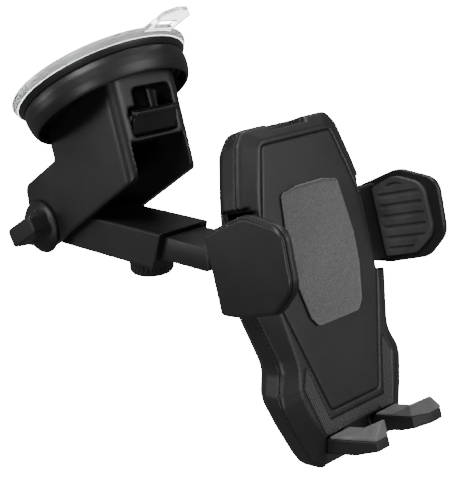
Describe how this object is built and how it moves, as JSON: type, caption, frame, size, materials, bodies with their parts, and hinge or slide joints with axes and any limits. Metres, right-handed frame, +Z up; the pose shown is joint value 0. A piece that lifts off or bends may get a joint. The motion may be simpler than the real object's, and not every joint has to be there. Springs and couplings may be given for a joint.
{
  "type": "car phone mount",
  "caption": "Suction-cup phone mount with a pivoting telescopic arm, a ball joint and a cradle with clamping arms and sliding feet.",
  "frame": {"origin": "centre of the suction face", "axes": "+X along the level arm towards the cradle, +Y sideways along the arm's pivot axis, +Z up"},
  "size_m": [0.2197, 0.092, 0.1728],
  "materials": {
    "clear_tpu": "clear soft TPU, slightly cloudy, glossy rim",
    "satin_black": "satin moulded ABS",
    "gloss_black": "semi-gloss moulded ABS",
    "matte_black": "matte moulded ABS with a fine grain",
    "arm_black": "satin glass-filled nylon",
    "cradle_black": "fine spark-eroded grain, satin",
    "nylon": "natural nylon",
    "nylon_black": "smooth black nylon",
    "steel": "zinc-plated steel",
    "brass": "turned brass",
    "grey_rubber": "speckled mid-grey rubber with a fine grain",
    "dark_rubber": "dark grey moulded rubber with a smooth border",
    "foot_rubber": "dark grey rubber",
    "mesh_black": "fine diamond mesh relief"
  },
  "bodies": {
    "base": {"suction_cup": "clear_tpu", "cup_ring": "satin_black", "base_flange": "satin_black", "flange_screws": "steel", "base_housing": "satin_black", "lever_pins": "steel", "pivot_nut": "steel", "friction_washers": "nylon"},
    "stem": {"cup_stem": "nylon"},
    "lever": {"lock_lever": "gloss_black"},
    "arm_tube": {"outer_tube": "arm_black", "tube_liner": "nylon_black", "clamp_insert": "brass", "pressure_pad": "nylon"},
    "wing": {"wing_knob": "matte_black", "pivot_bolt": "steel"},
    "thumb": {"thumb_knob": "matte_black", "clamp_stud": "steel"},
    "slide_arm": {"inner_arm": "arm_black", "ball_stud": "arm_black"},
    "seat_pitch": {"ball_seat_inner": "nylon"},
    "seat_pan": {"ball_seat_outer": "nylon"},
    "collar": {"collar_nut": "matte_black"},
    "cradle": {"ball_socket": "satin_black", "back_shell": "cradle_black", "front_shell": "cradle_black", "face_plate": "cradle_black", "face_pad": "grey_rubber", "mesh_inlay": "mesh_black", "shell_screws": "steel", "pinion_pin": "steel", "pawl_pin": "steel", "button_spring": "steel", "clamp_spring_left": "steel", "clamp_spring_right": "steel"},
    "left_clamp": {"clamp_arm_left": "cradle_black", "clamp_cap_left": "satin_black", "clamp_pad_left": "dark_rubber"},
    "right_clamp": {"clamp_arm_right": "cradle_black", "clamp_cap_right": "satin_black", "clamp_pad_right": "dark_rubber"},
    "gear": {"pinion": "nylon"},
    "pawl_body": {"pawl": "nylon"},
    "button": {"release_button": "satin_black"},
    "feet": {"foot_slider": "cradle_black", "foot_pads": "foot_rubber"}
  },
  "joints": [
    {"name": "lever_flip", "type": "hinge", "parent": "base", "child": "lever", "pos_m": [0.03516, 0, -0.02112], "axis": [0, 1, 0], "range_deg": [0, 50.2]},
    {"name": "stem_travel", "type": "slide", "parent": "base", "child": "stem", "axis": [-0.5299, 0, 0.848], "range_m": [0, 0.00245]},
    {"name": "arm_lift", "type": "hinge", "parent": "base", "child": "arm_tube", "pos_m": [-0.0285, 0, -0.0732], "axis": [0, -1, 0], "range_deg": [-90, 26]},
    {"name": "wing_turn", "type": "hinge", "parent": "base", "child": "wing", "pos_m": [-0.0285, -0.025, -0.0732], "axis": [0, -1, 0], "continuous": true},
    {"name": "thumb_turn", "type": "hinge", "parent": "arm_tube", "child": "thumb", "pos_m": [0.0285, 0, -0.085], "axis": [0, 0, 1], "continuous": true},
    {"name": "arm_slide", "type": "slide", "parent": "arm_tube", "child": "slide_arm", "axis": [1, 0, 0], "range_m": [-0.011, 0.028]},
    {"name": "ball_pitch", "type": "hinge", "parent": "slide_arm", "child": "seat_pitch", "pos_m": [0.1065, 0, -0.073], "axis": [0, 1, 0], "range_deg": [-8, 35]},
    {"name": "ball_pan", "type": "hinge", "parent": "seat_pitch", "child": "seat_pan", "pos_m": [0.1065, 0, -0.073], "axis": [-0.2588, 0, 0.9659], "range_deg": [-20, 20]},
    {"name": "ball_roll", "type": "hinge", "parent": "seat_pan", "child": "cradle", "pos_m": [0.1065, 0, -0.073], "axis": [0.9659, 0, 0.2588], "continuous": true},
    {"name": "collar_turn", "type": "hinge", "parent": "cradle", "child": "collar", "pos_m": [0.1065, 0, -0.073], "axis": [0.9659, 0, 0.2588], "continuous": true},
    {"name": "left_clamp_travel", "type": "slide", "parent": "cradle", "child": "left_clamp", "axis": [0, 1, 0], "range_m": [0, 0.011], "stiffness_N_per_m": 60, "springref_m": -0.003, "deforming": ["clamp_spring_left", "clamp_spring_right"]},
    {"name": "right_clamp_travel", "type": "slide", "parent": "cradle", "child": "right_clamp", "axis": [0, -1, 0], "range_m": [0, 0.011]},
    {"name": "pinion_turn", "type": "hinge", "parent": "cradle", "child": "gear", "pos_m": [0.12581, 0, -0.05998], "axis": [0.9659, 0, 0.2588], "range_deg": [-106, 0]},
    {"name": "button_press", "type": "slide", "parent": "cradle", "child": "button", "axis": [0.2588, 0, -0.9659], "range_m": [0, 0.0016], "stiffness_N_per_m": 300, "springref_m": -0.0005, "deforming": ["button_spring"]},
    {"name": "pawl_rock", "type": "hinge", "parent": "cradle", "child": "pawl_body", "pos_m": [0.11932, -0.008, -0.0435], "axis": [0.9659, 0, 0.2588], "range_deg": [-12, 0]},
    {"name": "feet_extend", "type": "slide", "parent": "cradle", "child": "feet", "axis": [0.2588, 0, -0.9659], "range_m": [0, 0.018]}
  ],
  "couplings": [
    {"joint": "lever_flip", "follows": "stem_travel", "rad_per_m": 355.87},
    {"joint": "right_clamp_travel", "follows": "left_clamp_travel", "ratio": 1},
    {"joint": "pinion_turn", "follows": "left_clamp_travel", "rad_per_m": -166.67},
    {"joint": "pawl_rock", "follows": "button_press", "rad_per_m": -125}
  ]
}
